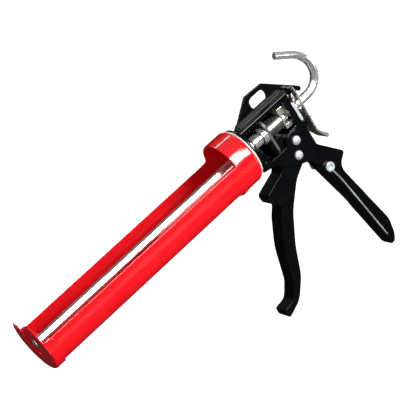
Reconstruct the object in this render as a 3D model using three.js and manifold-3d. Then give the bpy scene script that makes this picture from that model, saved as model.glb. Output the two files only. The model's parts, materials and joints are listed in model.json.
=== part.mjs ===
// Half-barrel caulking gun: a swivelling trough, a hex push rod with a hook, a trigger-driven
// thrust group and a thumb release.  Millimetres, +Z up, muzzle along -X, rod axis along X.
// The shapes are drawn in a tool frame whose X = 0 is the rear edge of the barrel and whose
// Z = 0 is the rod's axis; the exported group moves the origin to the grip point on the handle.
import * as THREE from 'three';
import { mergeVertices } from 'three/addons/utils/BufferGeometryUtils.js';
import Module from 'manifold-3d';

const wasm = await Module();
wasm.setup();

// Driving dimensions
const GRIP = [74, 0, -110];          // grip point on the fixed handle
const GAP = 0.3;                     // clearance between touching pieces
const SHEET = 1.6;                   // frame sheet thickness

const BARREL_R = 27;                 // trough outer radius
const BARREL_WALL = 1.1;
const RING_R = 28.3;                 // full ring at the rear of the trough
const RING_LENGTH = 22;
const RING_BLEND = 8;                // length of the slope from the ring down to the trough
const WALL_TOP = 6.9;                // height of the trough's side edges
const CAP_FRONT = -262;              // outer face of the front plate
const CAP_FACE = 1.6;                // its thickness
const CAP_R = 28.4;
const CAP_SKIRT = 11.3;              // length of its skirt round the trough
const NOZZLE_SLOT_R = 12;            // half width of the nozzle slot
const BARREL_FRONT = CAP_FRONT + CAP_FACE + GAP;
const PISTON_FRONT = CAP_FRONT + CAP_FACE + 0.5;
const PISTON_R = 17.5;
const PISTON_HUB_R = 7.7;

const ROD_AF = 7.6;                  // hex rod across flats
const ROD_BORE_R = 4.8;              // holes the rod is fixed in
const ROD_FRONT = CAP_FRONT + 0.8;
const HOOK_X = 90;                   // where the rod starts to bend
const HOOK_BENDS = [[20, 110], [30, 36]];   // the hook's arcs as [radius, degrees]
const HOOK_TIP = 19;                 // straight end of the hook

const BODY_HALF = 11;                // frame half width
const BODY_FRONT = 5.5;
const BODY_TOP = 22;
const BODY_REAR = 72;
const HANDLE_END_HALF = 7;           // frame half width at the foot of the handle
const TAPER_FROM = -50;
const TAPER_TO = -172;
const FIN_SHEET = 1.3;

const UPPER_RIVET = [50, -21.8];
const TRIGGER_PIVOT = [44.2, -35];
const HANDLE_BOLT = [65, -66.2];
const RIVET_R = 2.7;
const BOLT_R = 3;
const NUT_R = 5.6;
const TRIGGER_HALF = 8.7;
const DRIVE_HALF = 8;                // half width of the drive plate
const HUB_BORE_R = 6.7;
const HUB_R = 7.7;
const FLANGE_R = 25.8;

// Side-view outlines as [x, z, corner radius]
const FRAME_OUTLINE = [
  [BODY_FRONT, BODY_TOP, 0], [BODY_REAR - 3, BODY_TOP, 2], [BODY_REAR, BODY_TOP - 3, 2],
  [BODY_REAR, -16, 1], [67.6, -20, 2], [67.2, -40.3, 4], [88.4, -65.7, 3], [79, -73.5, 7],
  [77, -82, 14], [84.3, -115.5, 120], [93.4, -157, 14], [90.4, -173, 12], [86, -180.2, 4],
  [80.5, -179.5, 4], [78.6, -168, 10], [70.4, -114, 200], [57.5, -56, 6], [50.5, -47.5, 3],
  [40, -44, 8], [19, -27.5, 12], [BODY_FRONT, -25, 0],
];
const FIN_OUTLINE = [
  [8.9, BODY_TOP - 2, 0], [8.9, 22.6, 0], [33.6, 41.6, 3], [55.4, 40.6, 3], [84.4, 15.6, 1],
  [88.9, 11.4, 2.4], [86.2, 7.6, 2], [80.6, 12.4, 1], [74.4, 12.4, 0], [71, 18, 0],
  [68, BODY_TOP - 2, 0],
];
const HANG_SLOT = boxOutline(34.2, 25, 53.8, 36.6, 5.6);
// Section of the raised strip along the fin's foot, as [y, z]
const FIN_SHOULDER = [[0.15, 20.6], [4.6, 20.6], [4.6, 23.3], [0.15, 23.3]];
const SHOULDER_START_NEAR = 11.5;
const SHOULDER_START_FAR = 17.5;
const SHOULDER_END = 64;
// The far half's top slopes down to the flange; the near half's runs straight to it.
const FAR_OUTLINE = [[BODY_FRONT, 14, 0], [15.5, BODY_TOP, 4], ...FRAME_OUTLINE.slice(1)];
const WINDOW = [
  [9.5, 17.6, 3], [59.5, 17.6, 3], [59.5, -11.5, 3], [44, -11.5, 6], [37, -21.3, 3],
  [17, -21.3, 4], [15.4, -4, 5], [9.5, -2, 2],
];
const REAR_CUT = boxOutline(65.8, -12.6, BODY_REAR + 1, 19.6, 0.6);
const TRIGGER_GAP = [
  [18.5, -22, 0], [54, -40, 0], [64.5, -60, 0], [52, -64, 0], [20, -60, 0], [18.5, -40, 0],
];
const TRIGGER_OUTLINE = [
  [52.6, -38, 7], [47, -44.6, 6], [31, -53.4, 30], [10, -75.6, 60], [-7, -104, 90], [-19, -132, 36],
  [-34, -150, 22], [-53.5, -157.6, 5], [-53.2, -147.6, 3.4], [-40, -146.4, 12], [-29.4, -132, 18],
  [-19, -98, 70], [-5, -73, 30], [3.6, -62.4, 4], [-4.6, -55.4, 5], [-4.8, -46.6, 4.5],
  [20, -38.4, 4], [28, -28, 4], [33.9, -27, 1], [33.9, -8, 1.2], [39.6, -8, 1.2], [45.4, -17, 3],
  [45.4, -26.6, 3], [51.6, -29, 5],
];
// Cut out of the channel's open back, beyond the trigger's rear edge
const TRIGGER_BACK = [
  [92, -30, 0], [40, -47, 0], [22, -58, 0], [6, -76, 0], [-9, -102, 0], [-22, -134, 0],
  [-10, -150, 0], [20, -120, 0], [92, -60, 0],
];
const FINGER_TOP = -26;              // the trigger's fingers straddle the rod above this height
const LEVER_OUTLINE = [
  [74.2, 20.6, 0], [77.4, 20.6, 2.6], [77.6, 12, 8], [76.4, -24, 20], [76.6, -31, 8],
  [84.8, -41.4, 1.4], [82, -44.8, 1.4], [74.9, -31.4, 9], [74.8, -24, 20], [76, 12, 8],
  [75.8, 19, 1], [74.2, 19, 0],
];
const LEVER_HALF = 10;
const TAB_END_HALF = 8.4;            // half width of the thumb tab's end

const PAINT = {
  red: { color: 0xd8161c, roughness: 0.22, metalness: 0.0 },
  black: { color: 0x0b0c0e, roughness: 0.25, metalness: 0.0 },
  zinc: { color: 0xc4c8cc, roughness: 0.28, metalness: 1.0 },
  chrome: { color: 0xe2e4e6, roughness: 0.12, metalness: 1.0 },
  nickel: { color: 0xd8d4c8, roughness: 0.25, metalness: 1.0 },
  dark: { color: 0x33363a, roughness: 0.5, metalness: 0.8 },
  steel: { color: 0x8c8a84, roughness: 0.4, metalness: 1.0 },
  nylon: { color: 0xeee8da, roughness: 0.5, metalness: 0.0 },
};

// ---------------------------------------------------------------- helpers

const radians = THREE.MathUtils.degToRad;

function toSolid(geometry) {
  const bare = geometry.index ? geometry.toNonIndexed() : geometry.clone();
  bare.deleteAttribute('normal');
  bare.deleteAttribute('uv');
  const merged = mergeVertices(bare, 1e-4);
  const position = merged.attributes.position;
  const kept = [];
  for (let i = 0; i < merged.index.count; i += 3) {
    const [a, b, c] = [0, 1, 2].map((k) => merged.index.getX(i + k));
    if (a !== b && b !== c && c !== a) kept.push(a, b, c);
  }
  if (signedVolume(position, kept) < 0) kept.reverse();
  return new wasm.Manifold(new wasm.Mesh({
    numProp: 3,
    vertProperties: new Float32Array(position.array),
    triVerts: new Uint32Array(kept),
  }));
}

function signedVolume(position, index) {
  const [p, q, r] = [new THREE.Vector3(), new THREE.Vector3(), new THREE.Vector3()];
  let total = 0;
  for (let i = 0; i < index.length; i += 3) {
    p.fromBufferAttribute(position, index[i]);
    q.fromBufferAttribute(position, index[i + 1]);
    r.fromBufferAttribute(position, index[i + 2]);
    total += p.dot(q.cross(r)) / 6;
  }
  return total;
}

function toGeometry(solid) {
  const mesh = solid.getMesh();
  const geometry = new THREE.BufferGeometry();
  geometry.setAttribute('position', new THREE.BufferAttribute(mesh.vertProperties, 3));
  geometry.setIndex(new THREE.BufferAttribute(mesh.triVerts, 1));
  return geometry;
}

// A polygon's corners replaced by arcs of their own radii.
function rounded(outline) {
  const count = outline.length;
  return outline.flatMap(([x, z, radius], i) => {
    const corner = new THREE.Vector2(x, z);
    if (!radius) return [corner];
    const before = new THREE.Vector2(...outline[(i + count - 1) % count]).sub(corner);
    const after = new THREE.Vector2(...outline[(i + 1) % count]).sub(corner);
    const room = Math.min(before.length(), after.length()) * 0.48;
    before.normalize();
    after.normalize();
    const half = Math.acos(THREE.MathUtils.clamp(before.dot(after), -1, 1)) / 2;
    const reach = Math.min(radius / Math.tan(half), room);
    const bend = new THREE.QuadraticBezierCurve(
      corner.clone().addScaledVector(before, reach), corner,
      corner.clone().addScaledVector(after, reach));
    const steps = Math.max(2, Math.round((Math.PI - 2 * half) / radians(16)));
    return bend.getPoints(steps);
  });
}

// The same outline moved inward by a distance, with mitred corners.
function inset(outline, distance) {
  const points = outline.map(([x, z]) => new THREE.Vector2(x, z));
  const turn = Math.sign(THREE.ShapeUtils.area(points));
  const count = points.length;
  return points.map((point, i) => {
    const a = point.clone().sub(points[(i + count - 1) % count]).normalize();
    const b = points[(i + 1) % count].clone().sub(point).normalize();
    const normalA = new THREE.Vector2(-a.y, a.x).multiplyScalar(turn);
    const normalB = new THREE.Vector2(-b.y, b.x).multiplyScalar(turn);
    const mitre = normalA.add(normalB);
    const moved = point.clone().addScaledVector(mitre, (2 * distance) / mitre.lengthSq());
    const outward = Math.sign(a.cross(b)) * turn;
    return [moved.x, moved.y, Math.max(0, outline[i][2] - outward * distance)];
  });
}

// A side-view outline (x, z) given depth from y0 to y1.
function slab(points, y0, y1) {
  const geometry = new THREE.ExtrudeGeometry(new THREE.Shape(points), {
    depth: y1 - y0, bevelEnabled: false,
  });
  geometry.rotateX(Math.PI / 2);
  geometry.translate(0, y1, 0);
  return toSolid(geometry);
}

function block([x0, y0, z0], [x1, y1, z1]) {
  const geometry = new THREE.BoxGeometry(x1 - x0, y1 - y0, z1 - z0);
  geometry.translate((x0 + x1) / 2, (y0 + y1) / 2, (z0 + z1) / 2);
  return toSolid(geometry);
}

// A closed profile of [x, radius] turned about the rod's axis.
function turned(profile, segments = 32) {
  const points = [...profile, profile[0]].map(([x, radius]) => new THREE.Vector2(radius, x));
  const geometry = new THREE.LatheGeometry(points, segments);
  geometry.rotateZ(-Math.PI / 2);
  return toSolid(geometry);
}

function tube(x0, x1, inner, outer, segments = 32) {
  return turned([[x0, inner], [x1, inner], [x1, outer], [x0, outer]], segments);
}

// A cylinder across the gun, from y0 to y1, at the side-view place (x, z).
function crossPin([x, z], y0, y1, radius, segments = 20) {
  const geometry = new THREE.CylinderGeometry(radius, radius, y1 - y0, segments);
  geometry.translate(x, (y0 + y1) / 2, z);
  return toSolid(geometry);
}

function alongX(x0, x1, radius, segments = 32) {
  const geometry = new THREE.CylinderGeometry(radius, radius, x1 - x0, segments);
  geometry.rotateZ(Math.PI / 2);
  geometry.translate((x0 + x1) / 2, 0, 0);
  return toSolid(geometry);
}

// A section (y, z) given length along the rod from x0 to x1.
function prismX(points, x0, x1) {
  const shape = new THREE.Shape(points.map(([y, z]) => new THREE.Vector2(y, z)));
  const geometry = new THREE.ExtrudeGeometry(shape, { depth: x1 - x0, bevelEnabled: false });
  geometry.rotateX(Math.PI / 2);
  geometry.rotateZ(Math.PI / 2);
  geometry.translate(x0, 0, 0);
  return toSolid(geometry);
}

// Corners of a hexagon whose first corner is at the given angle in degrees.
function hexagon(acrossFlats, first) {
  const radius = acrossFlats / Math.sqrt(3);
  return Array.from({ length: 6 }, (_, i) => {
    const angle = radians(60 * i + first);
    return [radius * Math.cos(angle), radius * Math.sin(angle)];
  });
}

function boxOutline(x0, z0, x1, z1, radius) {
  return [[x0, z0, radius], [x1, z0, radius], [x1, z1, radius], [x0, z1, radius]];
}

class Helix extends THREE.Curve {
  constructor(axis, centre, radius, turns, length) {
    super();
    Object.assign(this, { axis, centre, radius, turns, length });
  }

  getPoint(t, target = new THREE.Vector3()) {
    const angle = t * this.turns * 2 * Math.PI;
    const along = (t - 0.5) * this.length;
    const across = [this.radius * Math.cos(angle), this.radius * Math.sin(angle)];
    if (this.axis === 'x') target.set(along, across[0], across[1]);
    else target.set(across[0], along, across[1]);
    return target.add(this.centre);
  }
}

function coil(axis, centre, radius, turns, length, wire) {
  const section = new THREE.Shape().absarc(0, 0, wire / 2, 0, 2 * Math.PI);
  const geometry = new THREE.ExtrudeGeometry(section, {
    steps: Math.round(turns * 12), curveSegments: 3,
    extrudePath: new Helix(axis, new THREE.Vector3(...centre), radius, turns, length),
  });
  return toSolid(geometry);
}

// ---------------------------------------------------------------- barrel

function barrelShell() {
  const inner = BARREL_R - BARREL_WALL;
  const trough = tube(BARREL_FRONT, -8, inner, BARREL_R, 48);
  const ring = turned([
    [-RING_LENGTH - RING_BLEND, inner], [-4, inner], [-2.2, 25.2], [-1.5, 24], [-GAP, 24], [-GAP, 25.2],
    [-0.7, 26.6], [-1.6, 27.7], [-3.2, RING_R], [-RING_LENGTH + 1, RING_R],
    [-RING_LENGTH - RING_BLEND, BARREL_R],
  ], 48);
  const lip = tube(-RING_LENGTH - 2.4, -RING_LENGTH + 2.6, inner + 0.2, RING_R + 0.8, 48)
    .intersect(block([-40, -17, -40], [0, 17, -18]));
  const opening = rounded([
    [BARREL_FRONT - 5, WALL_TOP, 0], [-RING_LENGTH, WALL_TOP, 3], [-RING_LENGTH, 40, 0],
    [BARREL_FRONT - 5, 40, 0],
  ]);
  return trough.add(ring).add(lip).subtract(slab(opening, -40, 40));
}

// A shallow cup whose skirt wraps the trough and whose face stands above it as two horns.
function frontPlate() {
  const rim = CAP_FRONT + CAP_SKIRT;
  const inside = CAP_FRONT + CAP_FACE;
  const cup = turned([
    [CAP_FRONT + 0.6, 0.001], [CAP_FRONT + 0.6, 19], [CAP_FRONT, 20.4], [CAP_FRONT, CAP_R - 2.2],
    [CAP_FRONT + 0.7, CAP_R - 0.7], [CAP_FRONT + 2.2, CAP_R], [rim, CAP_R], [rim, CAP_R - 1.1],
    [inside, CAP_R - 1.1], [inside, 0.001],
  ], 48);
  const skirtTop = WALL_TOP + 1.2;
  const aboveSkirt = slab(rounded([
    [inside, 40, 0], [inside, skirtTop, 0], [rim - 3, skirtTop, 2], [rim, skirtTop - 3, 0],
    [rim + 2, skirtTop - 3, 0], [rim + 2, 40, 0],
  ]), -40, 40);
  const throat = alongX(CAP_FRONT - 5, rim, NOZZLE_SLOT_R, 24);
  const mouth = prismX([
    [-NOZZLE_SLOT_R, 0], [NOZZLE_SLOT_R, 0], [NOZZLE_SLOT_R, 18], [NOZZLE_SLOT_R + 3, 26],
    [NOZZLE_SLOT_R + 3, 40], [-NOZZLE_SLOT_R - 3, 40], [-NOZZLE_SLOT_R - 3, 26], [-NOZZLE_SLOT_R, 18],
  ], CAP_FRONT - 5, rim);
  return cup.subtract(aboveSkirt).subtract(throat).subtract(mouth);
}

function barrelDisc() {
  return turned([
    [-3.4, HUB_R + GAP], [-1.8, HUB_R + GAP], [-1.8, 23.6], [-4.3, 25.5], [-9, 25.5],
    [-9, 24.4], [-4.6, 24.2], [-3.4, 23],
  ]);
}

function swivelHub() {
  return turned([
    [-5.6, HUB_BORE_R], [11, HUB_BORE_R], [11, HUB_R], [-3.7, HUB_R], [-3.7, 14], [-5.6, 14],
  ]);
}

const swivelWasher = () => tube(0.1, 1.7, HUB_R + GAP, 26.3, 48);
const hubCirclip = () => tube(9.2, 10.4, HUB_R + 0.2, 9.1, 24);

// ---------------------------------------------------------------- rod

function pushRod() {
  const bar = prismX(hexagon(ROD_AF, 0), ROD_FRONT, HOOK_X);
  const section = hexagon(ROD_AF, 90).map(([x, y]) => new THREE.Vector2(x, y));
  const hook = new THREE.ExtrudeGeometry(new THREE.Shape(section), {
    steps: 30, extrudePath: new THREE.CatmullRomCurve3(hookLine()),
  });
  return bar.add(toSolid(hook));
}

// The hook's centre line: arcs that follow one another, then a straight tip.
function hookLine() {
  const points = [new THREE.Vector3(HOOK_X, 0, 0)];
  let heading = 0;
  for (const [radius, turn] of HOOK_BENDS) {
    const steps = turn / 7;
    for (let i = 0; i < steps; i += 1) {
      heading += radians(turn / steps / 2);
      points.push(points[points.length - 1].clone().add(ahead(heading, radius * radians(turn / steps))));
      heading += radians(turn / steps / 2);
    }
  }
  points.push(points[points.length - 1].clone().add(ahead(heading, HOOK_TIP)));
  return points;
}

const ahead = (heading, length) => new THREE.Vector3(
  Math.cos(heading) * length, 0, Math.sin(heading) * length);

function pistonDisc() {
  const [front, rear] = [PISTON_FRONT, PISTON_FRONT + 3.5];
  return turned([
    [front, ROD_BORE_R], [front + 1.2, ROD_BORE_R], [front + 1.2, PISTON_R - 1.6],
    [rear, PISTON_R - 1], [rear, PISTON_R], [front + 1, PISTON_R], [front, PISTON_R - 1],
  ]);
}

const pistonHub = () => tube(PISTON_FRONT + 1.5, PISTON_FRONT + 6, ROD_BORE_R, PISTON_HUB_R, 24);

// ---------------------------------------------------------------- frame

function frameHalf(side) {
  const outline = side < 0 ? FRAME_OUTLINE : FAR_OUTLINE;
  const inside = BODY_HALF - SHEET;
  let half = slab(rounded(outline), 0.15, BODY_HALF)
    .subtract(slab(rounded(inset(outline, SHEET)), -1, inside))
    .add(slab(rounded(FIN_OUTLINE), 0.15, FIN_SHEET))
    .add(prismX(FIN_SHOULDER, side < 0 ? SHOULDER_START_NEAR : SHOULDER_START_FAR, SHOULDER_END))
    .subtract(slab(rounded(TRIGGER_GAP), -1, inside))
    .subtract(slab(rounded(HANG_SLOT), -1, 5))
    .subtract(alongX(0, 12, HUB_R + GAP, 24))
    .subtract(alongX(BODY_REAR - 4, BODY_REAR + 2, 6.2, 32))
    .subtract(crossPin(UPPER_RIVET, 1, 14, RIVET_R + GAP))
    .subtract(crossPin(TRIGGER_PIVOT, 1, 14, RIVET_R + GAP))
    .subtract(crossPin(HANDLE_BOLT, -1, 14, BOLT_R + GAP));
  if (side < 0) {
    half = half.subtract(slab(rounded(WINDOW), 2, 14)).subtract(slab(rounded(REAR_CUT), 2, 14));
  }
  return tapered(half, side);
}

// The half narrowed towards the foot of the handle, and put on its own side.
function tapered(half, side) {
  const geometry = toGeometry(half);
  const position = geometry.attributes.position;
  for (let i = 0; i < position.count; i += 1) {
    const fall = THREE.MathUtils.clamp((TAPER_FROM - position.getZ(i)) / (TAPER_FROM - TAPER_TO), 0, 1);
    const scale = THREE.MathUtils.lerp(1, HANDLE_END_HALF / BODY_HALF, fall);
    position.setY(i, position.getY(i) * scale * side);
  }
  return toSolid(geometry);
}

function frontFlange() {
  return turned([
    [2, HUB_R + GAP], [5.2, HUB_R + GAP], [5.2, FLANGE_R - 1.4], [4.4, FLANGE_R],
    [2.6, FLANGE_R], [2, FLANGE_R - 0.6],
  ], 48);
}

// A rivet across the frame with a dome head on each side.
function rivet(place, half) {
  const dome = (side) => {
    const geometry = new THREE.SphereGeometry(4.6, 16, 12);
    geometry.scale(1, 0.62, 1);
    geometry.translate(place[0], side * (half + GAP), place[1]);
    const keep = side > 0
      ? block([-50, half + GAP, -80], [120, half + 10, 80])
      : block([-50, -half - 10, -80], [120, -half - GAP, 80]);
    return toSolid(geometry).intersect(keep);
  };
  return crossPin(place, -half - 1, half + 1, RIVET_R).add(dome(1)).add(dome(-1));
}

const handleHalfAt = (z) => BODY_HALF * THREE.MathUtils.lerp(
  1, HANDLE_END_HALF / BODY_HALF, (TAPER_FROM - z) / (TAPER_FROM - TAPER_TO));

function handleBolt() {
  const face = handleHalfAt(HANDLE_BOLT[1]) + GAP + 0.4;
  const [x, z] = HANDLE_BOLT;
  const recess = slab(rounded(boxOutline(x - 2, z - 2, x + 2, z + 2, 0.3)), -face - 4, -face - 1.4);
  return crossPin(HANDLE_BOLT, -face - 2.6, -face, 4.8, 32)
    .add(crossPin(HANDLE_BOLT, -face - 1, face + 4.6, BOLT_R)).subtract(recess);
}

function handleNut() {
  const face = handleHalfAt(HANDLE_BOLT[1]) + GAP + 0.4;
  return crossPin(HANDLE_BOLT, face, face + 3.6, NUT_R, 6)
    .subtract(crossPin(HANDLE_BOLT, face - 1, face + 5, BOLT_R + GAP));
}

const upperSpacer = () => crossPin(UPPER_RIVET, -BODY_HALF + SHEET + GAP, BODY_HALF - SHEET - GAP, 4.2)
  .subtract(crossPin(UPPER_RIVET, -20, 20, RIVET_R + GAP));
const hubWasher = () => tube(7.4, 8.9, HUB_R + GAP, 9.1, 24);

// ---------------------------------------------------------------- thrust group

const driveTube = () => tube(14.6, 25, 5.2, 6.3, 24);

function driveCollar() {
  return turned([
    [25.3, 5.2], [30.2, 5.2], [30.2, 8.8], [28.9, 8.8], [28.9, 7.6], [28.3, 7.6], [28.3, 8.8],
    [27.2, 8.8], [27.2, 7.6], [26.6, 7.6], [26.6, 8.4], [25.3, 8.4],
  ], 24);
}

// A flat bar with rounded ends that the trigger's fingers push.
function drivePlate() {
  const ends = [14.6, -26].map((z, i) => {
    const centre = z + (i ? DRIVE_HALF : -DRIVE_HALF);
    return alongX(30.5, 33.3, DRIVE_HALF, 24).translate([0, 0, centre]);
  });
  return ends[0].add(ends[1]).hull().subtract(alongX(20, 40, 5.2));
}

const rearSleeve = () => tube(33.6, 50.8, 5.2, 7.9, 24);

function gripYoke() {
  const base = block([51.1, -6.5, -9.6], [52.8, 6.5, 12.4]);
  const upper = block([51.1, -6.5, 5.3], [60.2, 6.5, 12.4]);
  const lower = block([51.1, -6.5, -9.6], [60.2, 6.5, -5.3]);
  return base.add(upper).add(lower).subtract(alongX(45, 62, 5.2));
}

// ---------------------------------------------------------------- trigger and release

// A channel with an open back, whose top is a fork that straddles the rod.
function trigger() {
  const inside = TRIGGER_HALF - 2;
  return slab(rounded(TRIGGER_OUTLINE), -TRIGGER_HALF, TRIGGER_HALF)
    .subtract(slab(rounded(inset(TRIGGER_OUTLINE, 2)), -inside, inside))
    .subtract(block([20, -inside + GAP, FINGER_TOP], [60, inside - GAP, 0]))
    .subtract(slab(rounded(TRIGGER_BACK), -inside, inside))
    .subtract(block([36, -inside, -32], [60, inside, -10]))
    .subtract(crossPin(TRIGGER_PIVOT, -20, 20, RIVET_R + GAP));
}

const triggerSpring = () => coil('y', [TRIGGER_PIVOT[0], 0, TRIGGER_PIVOT[1]], 4.3, 5, 9, 1.3);

function releaseLever() {
  const front = prismX([
    [-LEVER_HALF, 22], [-LEVER_HALF, -28], [-TAB_END_HALF, -46], [TAB_END_HALF, -46],
    [LEVER_HALF, -28], [LEVER_HALF, 22],
  ], 70, 90);
  return slab(rounded(LEVER_OUTLINE), -LEVER_HALF, LEVER_HALF).intersect(front)
    .subtract(alongX(70, 80, 6.2, 32))
    .subtract(block([70, -2.1, 6.9], [82, 2.1, 30]));
}

function brakePlate() {
  return block([66.6, -9, -12.4], [69.8, 9, 8]).subtract(alongX(60, 75, 5.3));
}

const brakeSpring = () => coil('x', [69.2, -4, 15], 2.4, 3, 1.5, 0.5);

// ---------------------------------------------------------------- assembly

const gun = new THREE.Group();
gun.position.set(-GRIP[0], -GRIP[1], -GRIP[2]);

function add(name, solid, paint) {
  const mesh = new THREE.Mesh(toGeometry(solid), new THREE.MeshStandardMaterial(PAINT[paint]));
  mesh.name = name;
  gun.add(mesh);
}

add('barrel_shell', barrelShell(), 'red');
add('front_plate', frontPlate(), 'red');
add('barrel_disc', barrelDisc(), 'red');
add('swivel_hub', swivelHub(), 'zinc');
add('hub_circlip', hubCirclip(), 'steel');
add('swivel_washer', swivelWasher(), 'nylon');
add('push_rod', pushRod(), 'chrome');
add('piston_disc', pistonDisc(), 'red');
add('piston_washer', pistonHub(), 'zinc');
add('frame_left', frameHalf(-1), 'black');
add('frame_right', frameHalf(1), 'black');
add('front_flange', frontFlange(), 'black');
add('upper_rivet', rivet(UPPER_RIVET, BODY_HALF), 'zinc');
add('pivot_rivet', rivet(TRIGGER_PIVOT, BODY_HALF), 'zinc');
add('upper_spacer', upperSpacer(), 'steel');
add('handle_bolt', handleBolt(), 'zinc');
add('handle_nut', handleNut(), 'zinc');
add('hub_washer', hubWasher(), 'nylon');
add('drive_tube', driveTube(), 'chrome');
add('drive_collar', driveCollar(), 'zinc');
add('drive_plate', drivePlate(), 'dark');
add('rear_sleeve', rearSleeve(), 'steel');
add('grip_yoke', gripYoke(), 'nickel');
add('trigger', trigger(), 'black');
add('trigger_spring', triggerSpring(), 'steel');
add('release_lever', releaseLever(), 'nickel');
add('brake_plate', brakePlate(), 'zinc');
add('brake_spring', brakeSpring(), 'steel');

export default gun;
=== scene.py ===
"""Looks of the half-barrel caulking gun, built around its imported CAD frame.  Metres, +Z up."""
import json
import math

import bmesh
import bpy
from mathutils import Matrix, Vector


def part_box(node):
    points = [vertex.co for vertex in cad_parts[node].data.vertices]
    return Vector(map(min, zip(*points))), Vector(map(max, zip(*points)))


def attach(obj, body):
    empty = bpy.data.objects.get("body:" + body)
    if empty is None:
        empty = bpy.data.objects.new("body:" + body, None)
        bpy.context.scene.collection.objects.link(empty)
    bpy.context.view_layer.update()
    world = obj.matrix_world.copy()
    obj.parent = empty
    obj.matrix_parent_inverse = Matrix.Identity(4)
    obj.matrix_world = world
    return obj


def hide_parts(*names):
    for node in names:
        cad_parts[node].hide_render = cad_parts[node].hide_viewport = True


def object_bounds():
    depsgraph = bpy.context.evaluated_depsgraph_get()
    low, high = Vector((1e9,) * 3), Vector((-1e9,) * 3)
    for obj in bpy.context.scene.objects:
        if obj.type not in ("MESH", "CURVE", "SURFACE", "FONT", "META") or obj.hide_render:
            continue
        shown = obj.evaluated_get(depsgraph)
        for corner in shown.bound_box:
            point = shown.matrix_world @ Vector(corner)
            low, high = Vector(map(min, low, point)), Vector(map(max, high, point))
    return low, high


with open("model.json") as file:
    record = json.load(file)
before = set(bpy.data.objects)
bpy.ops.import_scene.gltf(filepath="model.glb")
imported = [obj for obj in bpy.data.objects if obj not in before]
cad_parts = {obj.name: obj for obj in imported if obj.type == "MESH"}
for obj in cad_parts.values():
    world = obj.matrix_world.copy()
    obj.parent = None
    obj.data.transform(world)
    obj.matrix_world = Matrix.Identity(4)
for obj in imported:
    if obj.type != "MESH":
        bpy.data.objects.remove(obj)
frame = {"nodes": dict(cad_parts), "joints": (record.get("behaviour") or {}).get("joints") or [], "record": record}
CAD_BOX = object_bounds()
MM = 0.001
AXIS = Vector(frame["joints"][0]["pos_m"])     # on the rod's axis, at the barrel's rear edge

# The view: where the camera stands round the gun, and how it is tilted.
VIEW_AZIMUTH = -20.8       # degrees
VIEW_ELEVATION = 24.35
VIEW_ROLL = math.radians(-33.9)
VIEW_DISTANCE = 1.4
VIEW_FOCAL = 3.67          # focal length over frame width
VIEW_TARGET = (-56.5, 0, -16.85)
FLOOR_DROP = 0.9           # floor below the gun, in metres
DOME_RADIUS = 9            # backdrop, in metres

# The rod and its hook, in millimetres from AXIS
ROD_FLATS = 7.6
HOOK_START = 90
HOOK_BENDS = [(20, 110), (30, 36)]      # (radius, degrees)
HOOK_TIP = 19
ROD_CHAMFER = 0.9
ROD_STEPS = 12             # lengths that the straight rod is divided into
CORNER_ROUNDING = 7        # degrees either side of each corner of the hexagon
HOOK_THINNING = 0.07       # share of its width that the rod loses by the hook's tip

RIVETS = {"upper_rivet": (50, -21.8), "pivot_rivet": (44.2, -35)}
FRAME_HALF = 11
HANDLE_FOOT_HALF = 7
TAPER = (-50, -172)        # heights between which the handle narrows
HANDLE_CREASE = [(66.6, -72.4), (69.6, -84.5), (72.1, -99.8), (76.9, -131.4), (81.2, -160), (82.4, -167.5)]
RIM_R = 9.1                # radius of the pressed rim round the upper rivet
WELDS = [(13.9, -7.8), (12, -18.8)]


def at(x, y, z):
    """A point given in millimetres from AXIS, in metres."""
    return AXIS + Vector((x, y, z)) * MM


def heading(azimuth, elevation):
    """A direction given in degrees round the gun from its near side, and above the horizon."""
    a, e = math.radians(azimuth), math.radians(elevation)
    return Vector((math.sin(a) * math.cos(e), -math.cos(a) * math.cos(e), math.sin(e)))


# ---------------------------------------------------------------- camera and stage

def make_camera():
    target = at(*VIEW_TARGET)
    away = heading(VIEW_AZIMUTH, VIEW_ELEVATION)
    level = (-away).cross(Vector((0, 0, 1))).normalized()
    upright = level.cross(-away)
    right = math.cos(VIEW_ROLL) * level + math.sin(VIEW_ROLL) * upright
    up = -math.sin(VIEW_ROLL) * level + math.cos(VIEW_ROLL) * upright
    data = bpy.data.cameras.new("camera")
    data.sensor_width = 36
    data.lens = VIEW_FOCAL * data.sensor_width
    camera = bpy.data.objects.new("camera", data)
    camera.matrix_world = Matrix.Translation(target + away * VIEW_DISTANCE) @ Matrix((
        right, up, away)).transposed().to_4x4()
    bpy.context.collection.objects.link(camera)
    bpy.context.scene.camera = camera


def make_surroundings():
    """A plain white floor well below the gun, and a white dome round it."""
    low = CAD_BOX[0].z - FLOOR_DROP
    shape = bmesh.new()
    bmesh.ops.create_uvsphere(shape, u_segments=48, v_segments=24, radius=DOME_RADIUS)
    bmesh.ops.bisect_plane(shape, geom=shape.verts[:] + shape.edges[:] + shape.faces[:],
                           plane_co=(0, 0, low), plane_no=(0, 0, -1), clear_outer=True)
    bmesh.ops.holes_fill(shape, edges=[e for e in shape.edges if e.is_boundary])
    mesh = bpy.data.meshes.new("surroundings")
    shape.to_mesh(mesh)
    shape.free()
    surroundings = bpy.data.objects.new("surroundings", mesh)
    bpy.context.collection.objects.link(surroundings)
    material = bpy.data.materials.new("surroundings")
    material.use_nodes = True
    shader = material.node_tree.nodes["Principled BSDF"]
    shader.inputs["Base Color"].default_value = (0.9, 0.9, 0.9, 1)
    shader.inputs["Roughness"].default_value = 0.9
    shader.inputs["Emission Color"].default_value = (1, 1, 1, 1)
    shader.inputs["Emission Strength"].default_value = 1.0
    mesh.materials.append(material)
    surroundings.visible_glossy = False
    surroundings.visible_diffuse = False
    surroundings.visible_shadow = False


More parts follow.
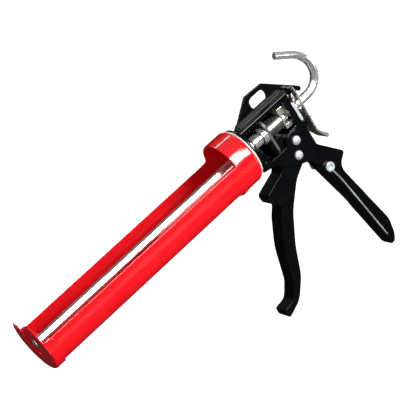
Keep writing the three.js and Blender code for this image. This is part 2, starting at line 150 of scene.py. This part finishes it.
def softbox(name, azimuth, elevation, distance, size, radiance, glossy=True, diffuse=True):
    """A rectangular light that faces the gun, (across, up) metres large."""
    data = bpy.data.lights.new(name, "AREA")
    data.shape = "RECTANGLE"
    data.size, data.size_y = size
    data.energy = radiance * math.pi * size[0] * size[1]
    light = bpy.data.objects.new(name, data)
    away = heading(azimuth, elevation)
    light.location = at(0, 0, 0) + away * distance
    light.rotation_mode = "QUATERNION"
    light.rotation_quaternion = (-away).to_track_quat("-Z", "Y")
    light.visible_glossy = glossy
    light.visible_diffuse = diffuse
    bpy.context.collection.objects.link(light)


def make_lights():
    world = bpy.data.worlds.new("studio")
    world.use_nodes = True
    nodes, links = world.node_tree.nodes, world.node_tree.links
    background = nodes["Background"]
    place = nodes.new("ShaderNodeTexCoord")
    split = nodes.new("ShaderNodeSeparateXYZ")
    links.new(place.outputs["Generated"], split.inputs["Vector"])
    ramp = nodes.new("ShaderNodeValToRGB")
    ramp.color_ramp.elements[0].position = 0.42
    ramp.color_ramp.elements[0].color = (0.02, 0.02, 0.02, 1)
    ramp.color_ramp.elements[1].position = 0.95
    ramp.color_ramp.elements[1].color = (0.32, 0.33, 0.32, 1)
    links.new(split.outputs["Z"], ramp.inputs["Fac"])
    links.new(ramp.outputs["Color"], background.inputs["Color"])
    bpy.context.scene.world = world
    softbox("key", 9, 27, 1.5, (0.85, 0.95), 18, diffuse=False)
    softbox("main", 38, 15, 1.6, (0.8, 0.6), 20)
    softbox("low", 12, -30, 1.5, (1.0, 0.5), 10, glossy=False)
    softbox("hair", 145, 56, 1.5, (0.5, 0.07), 14)
    softbox("rear", -150, 50, 1.6, (0.7, 0.5), 6)
    softbox("front", -62, 12, 1.6, (0.8, 0.8), 3, glossy=False)
    softbox("strip_left", -46, -20, 1.5, (0.3, 0.8), 3, diffuse=False)
    softbox("strip_right", 82, -20, 1.5, (0.3, 0.8), 3, diffuse=False)
    bpy.context.scene.view_settings.view_transform = "Standard"


# ---------------------------------------------------------------- materials

class Finish:
    """A node material being put together."""

    def __init__(self, name):
        self.material = bpy.data.materials.new(name)
        self.material.use_nodes = True
        self.nodes = self.material.node_tree.nodes
        self.links = self.material.node_tree.links
        self.shader = self.nodes["Principled BSDF"]
        self.place = self.nodes.new("ShaderNodeTexCoord")

    def noise(self, scale, stretch=(1, 1, 1), detail=4):
        mapping = self.nodes.new("ShaderNodeMapping")
        mapping.inputs["Scale"].default_value = [scale * s for s in stretch]
        self.links.new(self.place.outputs["Object"], mapping.inputs["Vector"])
        noise = self.nodes.new("ShaderNodeTexNoise")
        noise.inputs["Scale"].default_value = 1
        noise.inputs["Detail"].default_value = detail
        self.links.new(mapping.outputs["Vector"], noise.inputs["Vector"])
        return noise.outputs["Fac"]

    def ramp(self, value, stops):
        ramp = self.nodes.new("ShaderNodeValToRGB")
        ends = ramp.color_ramp.elements
        while len(ends) < len(stops):
            ends.new(0.5)
        for end, (position, color) in zip(ends, stops):
            end.position = position
            end.color = (*color, 1)
        self.links.new(value, ramp.inputs["Fac"])
        return ramp.outputs["Color"]

    def spread(self, value, low, high):
        spread = self.nodes.new("ShaderNodeMapRange")
        spread.inputs["From Min"].default_value = 0.3
        spread.inputs["From Max"].default_value = 0.7
        spread.inputs["To Min"].default_value = low
        spread.inputs["To Max"].default_value = high
        self.links.new(value, spread.inputs["Value"])
        return spread.outputs["Result"]

    def relief(self, value, distance, strength):
        bump = self.nodes.new("ShaderNodeBump")
        bump.inputs["Strength"].default_value = strength
        bump.inputs["Distance"].default_value = distance * MM
        self.links.new(value, bump.inputs["Height"])
        self.links.new(bump.outputs["Normal"], self.shader.inputs["Normal"])


def enamel(name, color, deep, roughness=0.12, specular=0.5, coat=0.5):
    """Sprayed enamel: a faint orange peel, thinner and darker in places, with soft rub marks."""
    made = Finish(name)
    made.shader.inputs["Specular IOR Level"].default_value = specular
    made.shader.inputs["Coat Weight"].default_value = coat
    made.shader.inputs["Coat Roughness"].default_value = 0.04
    cloud = made.noise(45)
    tint = made.ramp(cloud, [(0.3, deep), (0.62, color)])
    made.links.new(tint, made.shader.inputs["Base Color"])
    rubs = made.noise(160, (0.25, 1, 1), 6)
    made.links.new(made.spread(rubs, roughness * 0.75, roughness * 1.35), made.shader.inputs["Roughness"])
    made.relief(made.noise(420, detail=2), 0.02, 0.5)
    return made.material


def plate(name, color, deep, roughness, stretch=(1, 1, 1), grain=350, relief=0.012, metallic=1):
    """Plated metal: cloudy tone, and fine drawn or tumbled marks."""
    made = Finish(name)
    made.shader.inputs["Metallic"].default_value = metallic
    cloud = made.noise(90)
    made.links.new(made.ramp(cloud, [(0.32, deep), (0.66, color)]), made.shader.inputs["Base Color"])
    marks = made.noise(grain, stretch, 2)
    made.links.new(made.spread(marks, roughness * 0.9, roughness * 1.15), made.shader.inputs["Roughness"])
    made.relief(made.noise(120, stretch, 2), relief, 0.5)
    return made.material


def moulded(name, color, deep, roughness):
    made = Finish(name)
    made.links.new(made.ramp(made.noise(120), [(0.3, deep), (0.7, color)]), made.shader.inputs["Base Color"])
    grain = made.noise(900, detail=3)
    made.links.new(made.spread(grain, roughness * 0.85, roughness * 1.15), made.shader.inputs["Roughness"])
    made.relief(grain, 0.015, 0.5)
    return made.material


DRAWN = (0.03, 1, 1)       # marks that run along the rod
# Grey enamel for the handle's crease bead: a painted highlight, standing in for the light caught along the crease,
# not worn paint.
CREASE_HIGHLIGHT_GREY = enamel("crease_highlight_enamel", (0.30, 0.31, 0.315), (0.12, 0.125, 0.13), 0.4, 0.4, 0)
FINISH = {
    "red_enamel": enamel("red_enamel", (0.86, 0.009, 0.016), (0.80, 0.007, 0.013)),
    "black_enamel": enamel("black_enamel", (0.0022, 0.0026, 0.0032), (0.0015, 0.0018, 0.0022),
                           0.17, 0.25, 0),
    "zinc_plate": plate("zinc_plate", (0.66, 0.71, 0.76), (0.52, 0.57, 0.63), 0.4, metallic=0.6),
    "chrome_plate": plate("chrome_plate", (0.88, 0.89, 0.87), (0.80, 0.81, 0.79), 0.12,
                          DRAWN, 900, 0.016, 0.75),
    "nickel_plate": plate("nickel_plate", (0.84, 0.80, 0.72), (0.74, 0.70, 0.62), 0.22, metallic=0.8),
    "dark_steel": plate("dark_steel", (0.07, 0.083, 0.083), (0.05, 0.06, 0.06), 0.45, metallic=0.2),
    "grey_steel": plate("grey_steel", (0.30, 0.30, 0.26), (0.20, 0.20, 0.17), 0.24, metallic=0.85),
    "spring_steel": plate("spring_steel", (0.62, 0.62, 0.62), (0.42, 0.42, 0.43), 0.35, metallic=0.8),
    "nylon": moulded("nylon", (0.90, 0.85, 0.74), (0.80, 0.74, 0.62), 0.4),
}


# ---------------------------------------------------------------- meshes

def new_piece(name, shape):
    for face in shape.faces:
        face.smooth = True
    bmesh.ops.recalc_face_normals(shape, faces=shape.faces)
    mesh = bpy.data.meshes.new(name)
    shape.to_mesh(mesh)
    shape.free()
    piece = bpy.data.objects.new(name, mesh)
    bpy.context.collection.objects.link(piece)
    return piece


def soften(piece, width, segments=2, weighted_edges=False, angle=32):
    bevel = piece.modifiers.new("bevel", "BEVEL")
    bevel.width = width * MM
    bevel.segments = segments
    bevel.limit_method = "WEIGHT" if weighted_edges else "ANGLE"
    bevel.angle_limit = math.radians(angle)
    bevel.use_clamp_overlap = False
    normals = piece.modifiers.new("normals", "WEIGHTED_NORMAL")
    normals.keep_sharp = True
    return piece


def rings(shape, loops, closed=False):
    """Faces between loops of vertices that follow one another."""
    made = [[shape.verts.new(p) for p in loop] for loop in loops]
    pairs = list(zip(made, made[1:])) + ([(made[-1], made[0])] if closed else [])
    for a, b in pairs:
        for i in range(len(a)):
            j = (i + 1) % len(a)
            shape.faces.new((a[i], a[j], b[j], b[i]))
    if not closed:
        shape.faces.new(made[0])
        shape.faces.new(made[-1])


def lathe(shape, centre, axis, profile, segments=48):
    """A closed profile of (along, radius) millimetres, turned about an axis through centre."""
    axis = Vector(axis).normalized()
    side = axis.orthogonal().normalized()
    up = axis.cross(side)
    loops = []
    for k in range(segments):
        angle = 2 * math.pi * k / segments
        out = side * math.cos(angle) + up * math.sin(angle)
        loops.append([centre + (axis * a + out * r) * MM for a, r in profile])
    rings(shape, loops, closed=True)


def tube_along(shape, points, radius, sides):
    """A round wire through points, with frames carried along it."""
    tangents = [((points[min(i + 1, len(points) - 1)] - points[max(i - 1, 0)]).normalized())
                for i in range(len(points))]
    side = tangents[0].orthogonal().normalized()
    loops = []
    for point, tangent in zip(points, tangents):
        side = (side - tangent * side.dot(tangent)).normalized()
        up = tangent.cross(side)
        loops.append([point + (side * math.cos(2 * math.pi * k / sides)
                               + up * math.sin(2 * math.pi * k / sides)) * radius * MM
                      for k in range(sides)])
    rings(shape, loops)


def welded(node):
    """The CAD node's own shape, with flat faces joined up."""
    shape = bmesh.new()
    shape.from_mesh(frame["nodes"][node].data)
    bmesh.ops.remove_doubles(shape, verts=shape.verts, dist=0.002 * MM)
    bmesh.ops.dissolve_limit(shape, angle_limit=math.radians(0.6), verts=shape.verts, edges=shape.edges)
    return shape


def refine(node, width=0.3, segments=2, fold=0):
    """The CAD node's shape with rounded edges; a folded sheet's outer bends take a larger round."""
    shape = welded(node)
    if fold:
        weight = shape.edges.layers.float.new("bevel_weight_edge")
        for edge in shape.edges:
            if len(edge.link_faces) == 2 and edge.calc_face_angle() > math.radians(32):
                edge[weight] = 1.0 if is_fold(edge) else width / fold
    piece = new_piece(node + "_fine", shape)
    return soften(piece, fold or width, segments + (2 if fold else 0), weighted_edges=bool(fold))


def is_fold(edge):
    """Whether an edge lies between a side face and a wall that runs deep across the gun."""
    walls = [f for f in edge.link_faces if abs(f.normal.y) < 0.5]
    sides = [f for f in edge.link_faces if abs(f.normal.y) > 0.9]
    if len(walls) != 1 or len(sides) != 1:
        return False
    depths = [abs(v.co.y) for v in walls[0].verts]
    outer = max(abs(v.co.y) for v in edge.verts)
    return max(depths) - min(depths) > 4 * MM and outer > max(depths) - 0.05 * MM


# ---------------------------------------------------------------- rod

def hook_path():
    """(centre, turn) along the hook, from the straight rod to its tip."""
    steps = [(Vector((HOOK_START, 0, 0)), 0.0)]
    turn_now = 0.0
    for radius, turn in HOOK_BENDS:
        count = round(turn / 3)
        part = math.radians(turn / count)
        for _ in range(count):
            turn_now += part / 2
            ahead = Vector((math.cos(turn_now), 0, math.sin(turn_now)))
            turn_now += part / 2
            steps.append((steps[-1][0] + ahead * radius * part, turn_now))
    ahead = Vector((math.cos(turn_now), 0, math.sin(turn_now)))
    steps.append((steps[-1][0] + ahead * (HOOK_TIP - ROD_CHAMFER), turn_now))
    steps.append((steps[-1][0] + ahead * ROD_CHAMFER, turn_now))
    return steps


def push_rod():
    front = (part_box("push_rod")[0].x - AXIS.x) / MM
    steps = [(Vector((front, 0, 0)), 0.0), (Vector((front + ROD_CHAMFER, 0, 0)), 0.0)]
    steps += [(Vector((front + (HOOK_START - front) * k / ROD_STEPS, 0, 0)), 0.0)
              for k in range(1, ROD_STEPS)]
    steps += hook_path()
    radius = ROD_FLATS / math.sqrt(3)
    count = len(steps)
    loops = []
    for i, (centre, turn) in enumerate(steps):
        up = Vector((-math.sin(turn), 0, math.cos(turn)))
        scale = 1 - HOOK_THINNING * max(0, i - ROD_STEPS - 1) / (count - ROD_STEPS - 2)
        if i in (0, count - 1):
            scale *= 0.8
        loop = []
        for corner in range(6):
            for off in (-CORNER_ROUNDING, 0, CORNER_ROUNDING):
                angle = math.radians(60 * corner + off)
                flat = math.cos(math.radians(30)) / math.cos(math.radians(30 - abs(off)))
                reach = radius * flat * (0.985 if off == 0 else 1)
                across = centre + (Vector((0, 1, 0)) * math.cos(angle) + up * math.sin(angle)) * reach * scale
                loop.append(at(*across))
        loops.append(loop)
    shape = bmesh.new()
    rings(shape, loops)
    piece = new_piece("push_rod_fine", shape)
    normals = piece.modifiers.new("normals", "WEIGHTED_NORMAL")
    normals.keep_sharp = True
    return piece


# ---------------------------------------------------------------- small parts

def rivet(node):
    x, z = RIVETS[node]
    face = FRAME_HALF + 0.3
    dome = [(0.0, 4.5), (0.5, 4.58), (1.1, 4.35), (1.7, 3.85), (2.25, 3.05), (2.65, 2.1), (2.84, 1.0),
            (2.88, 0.02)]
    profile = [(face + a, r) for a, r in dome]
    profile = profile[::-1] + [(face, 2.7)] + [(-face, 2.7)] + [(-face - a, r) for a, r in dome]
    shape = bmesh.new()
    lathe(shape, at(x, 0, z), (0, 1, 0), profile, 40)
    return soften(new_piece(node + "_fine", shape), 0.1, 1)


def coil(name, centre, axis, radius, turns, length, wire):
    axis = Vector(axis)
    side, up = axis.orthogonal().normalized(), axis.cross(axis.orthogonal().normalized())
    count = round(turns * 28)
    points = []
    for k in range(count + 1):
        t = k / count
        angle = 2 * math.pi * turns * t
        points.append(centre + (axis * (t - 0.5) * length
                                + (side * math.cos(angle) + up * math.sin(angle)) * radius) * MM)
    shape = bmesh.new()
    tube_along(shape, points, wire / 2, 12)
    return new_piece(name, shape)


# ---------------------------------------------------------------- pressed details of the frame

def handle_half(z):
    """The frame's half width at a height, narrowing towards the foot of the handle."""
    fall = min(1, max(0, (TAPER[0] - z) / (TAPER[0] - TAPER[1])))
    return FRAME_HALF + (HANDLE_FOOT_HALF - FRAME_HALF) * fall


def smooth_line(corners, steps=10):
    """Points along a smooth curve through the corners, as (x, z)."""
    ends = [corners[0]] + corners + [corners[-1]]
    line = []
    for a, b, c, d in zip(ends, ends[1:], ends[2:], ends[3:]):
        for k in range(steps):
            t = k / steps
            line.append([0.5 * (2 * b[i] + (c[i] - a[i]) * t + (2 * a[i] - 5 * b[i] + 4 * c[i] - d[i]) * t * t
                                + (3 * b[i] - a[i] - 3 * c[i] + d[i]) * t ** 3) for i in (0, 1)])
    return line + [list(corners[-1])]


def raised_line(name, corners, side, radius, proud, finish):
    """A rounded bead pressed up along a line on the frame's side face."""
    points = [at(x, side * (handle_half(z) - radius + proud), z) for x, z in smooth_line(corners)]
    shape = bmesh.new()
    tube_along(shape, points, radius, 14)
    add_detail(new_piece(name, shape), finish)


def spot_bump(name, x, z, side, radius=1.5, proud=0.45):
    """A small round bump left by a spot weld."""
    face = side * FRAME_HALF
    profile = [(side * a, r * radius) for a, r in
               [(proud, 0.02), (proud * 0.9, 0.4), (proud * 0.55, 0.75), (0, 1), (-0.3, 1), (-0.3, 0.02)]]
    shape = bmesh.new()
    lathe(shape, at(x, face, z), (0, 1, 0), profile, 20)
    add_detail(new_piece(name, shape), FINISH["black_enamel"])


def add_detail(piece, finish):
    piece.data.materials.append(finish)
    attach(piece, "root")


def frame_details():
    x, z = RIVETS["upper_rivet"]
    arc = [(x + RIM_R * math.cos(math.radians(a)), z + RIM_R * math.sin(math.radians(a)))
           for a in range(35, 146, 22)]
    for side, label in ((-1, "near"), (1, "far")):
        # The crease bead is painted grey as a painted highlight along the handle's crease.
        raised_line("handle_crease_" + label, HANDLE_CREASE, side, 1.2, 0.55, CREASE_HIGHLIGHT_GREY)
        raised_line("rivet_rim_" + label, arc, side, 0.8, 0.4, FINISH["black_enamel"])
        for i, (px, pz) in enumerate(WELDS):
            spot_bump("spot_weld_%s_%d" % (label, i), px, pz, side)


# ---------------------------------------------------------------- assembly

SLOT_OF = {s["node"]: s["material_slot"] for s in frame["record"]["subparts"]}
BODY_OF = {node: body for body, nodes in frame["record"]["behaviour"]["bodies"].items()
           for node in nodes}


def finish_piece(piece, node):
    piece.data.materials.clear()
    piece.data.materials.append(FINISH[SLOT_OF[node]])
    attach(piece, BODY_OF[node])
    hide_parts(node)


EDGES = {
    "barrel_shell": dict(width=0.45, segments=3), "front_plate": dict(width=0.45, segments=3),
    "frame_left": dict(width=0.35, fold=1.8), "frame_right": dict(width=0.35, fold=1.8),
    "trigger": dict(width=0.35, fold=1.7), "release_lever": dict(width=0.5, segments=3),
    "swivel_washer": dict(width=0.4), "hub_circlip": dict(width=0.2),
    "drive_collar": dict(width=0.2), "handle_bolt": dict(width=0.25),
}
BUILT = {
    "push_rod": push_rod,
    "upper_rivet": lambda: rivet("upper_rivet"),
    "pivot_rivet": lambda: rivet("pivot_rivet"),
    "trigger_spring": lambda: coil("trigger_spring_fine", at(44.2, 0, -35), (0, 1, 0), 4.3, 5, 9, 1.3),
    "brake_spring": lambda: coil("brake_spring_fine", at(69.2, -4, 15), (1, 0, 0), 2.4, 3, 1.5, 0.5),
}

make_camera()
make_surroundings()
make_lights()
for name in SLOT_OF:
    finish_piece(BUILT[name]() if name in BUILT else refine(name, **EDGES.get(name, {})), name)
frame_details()
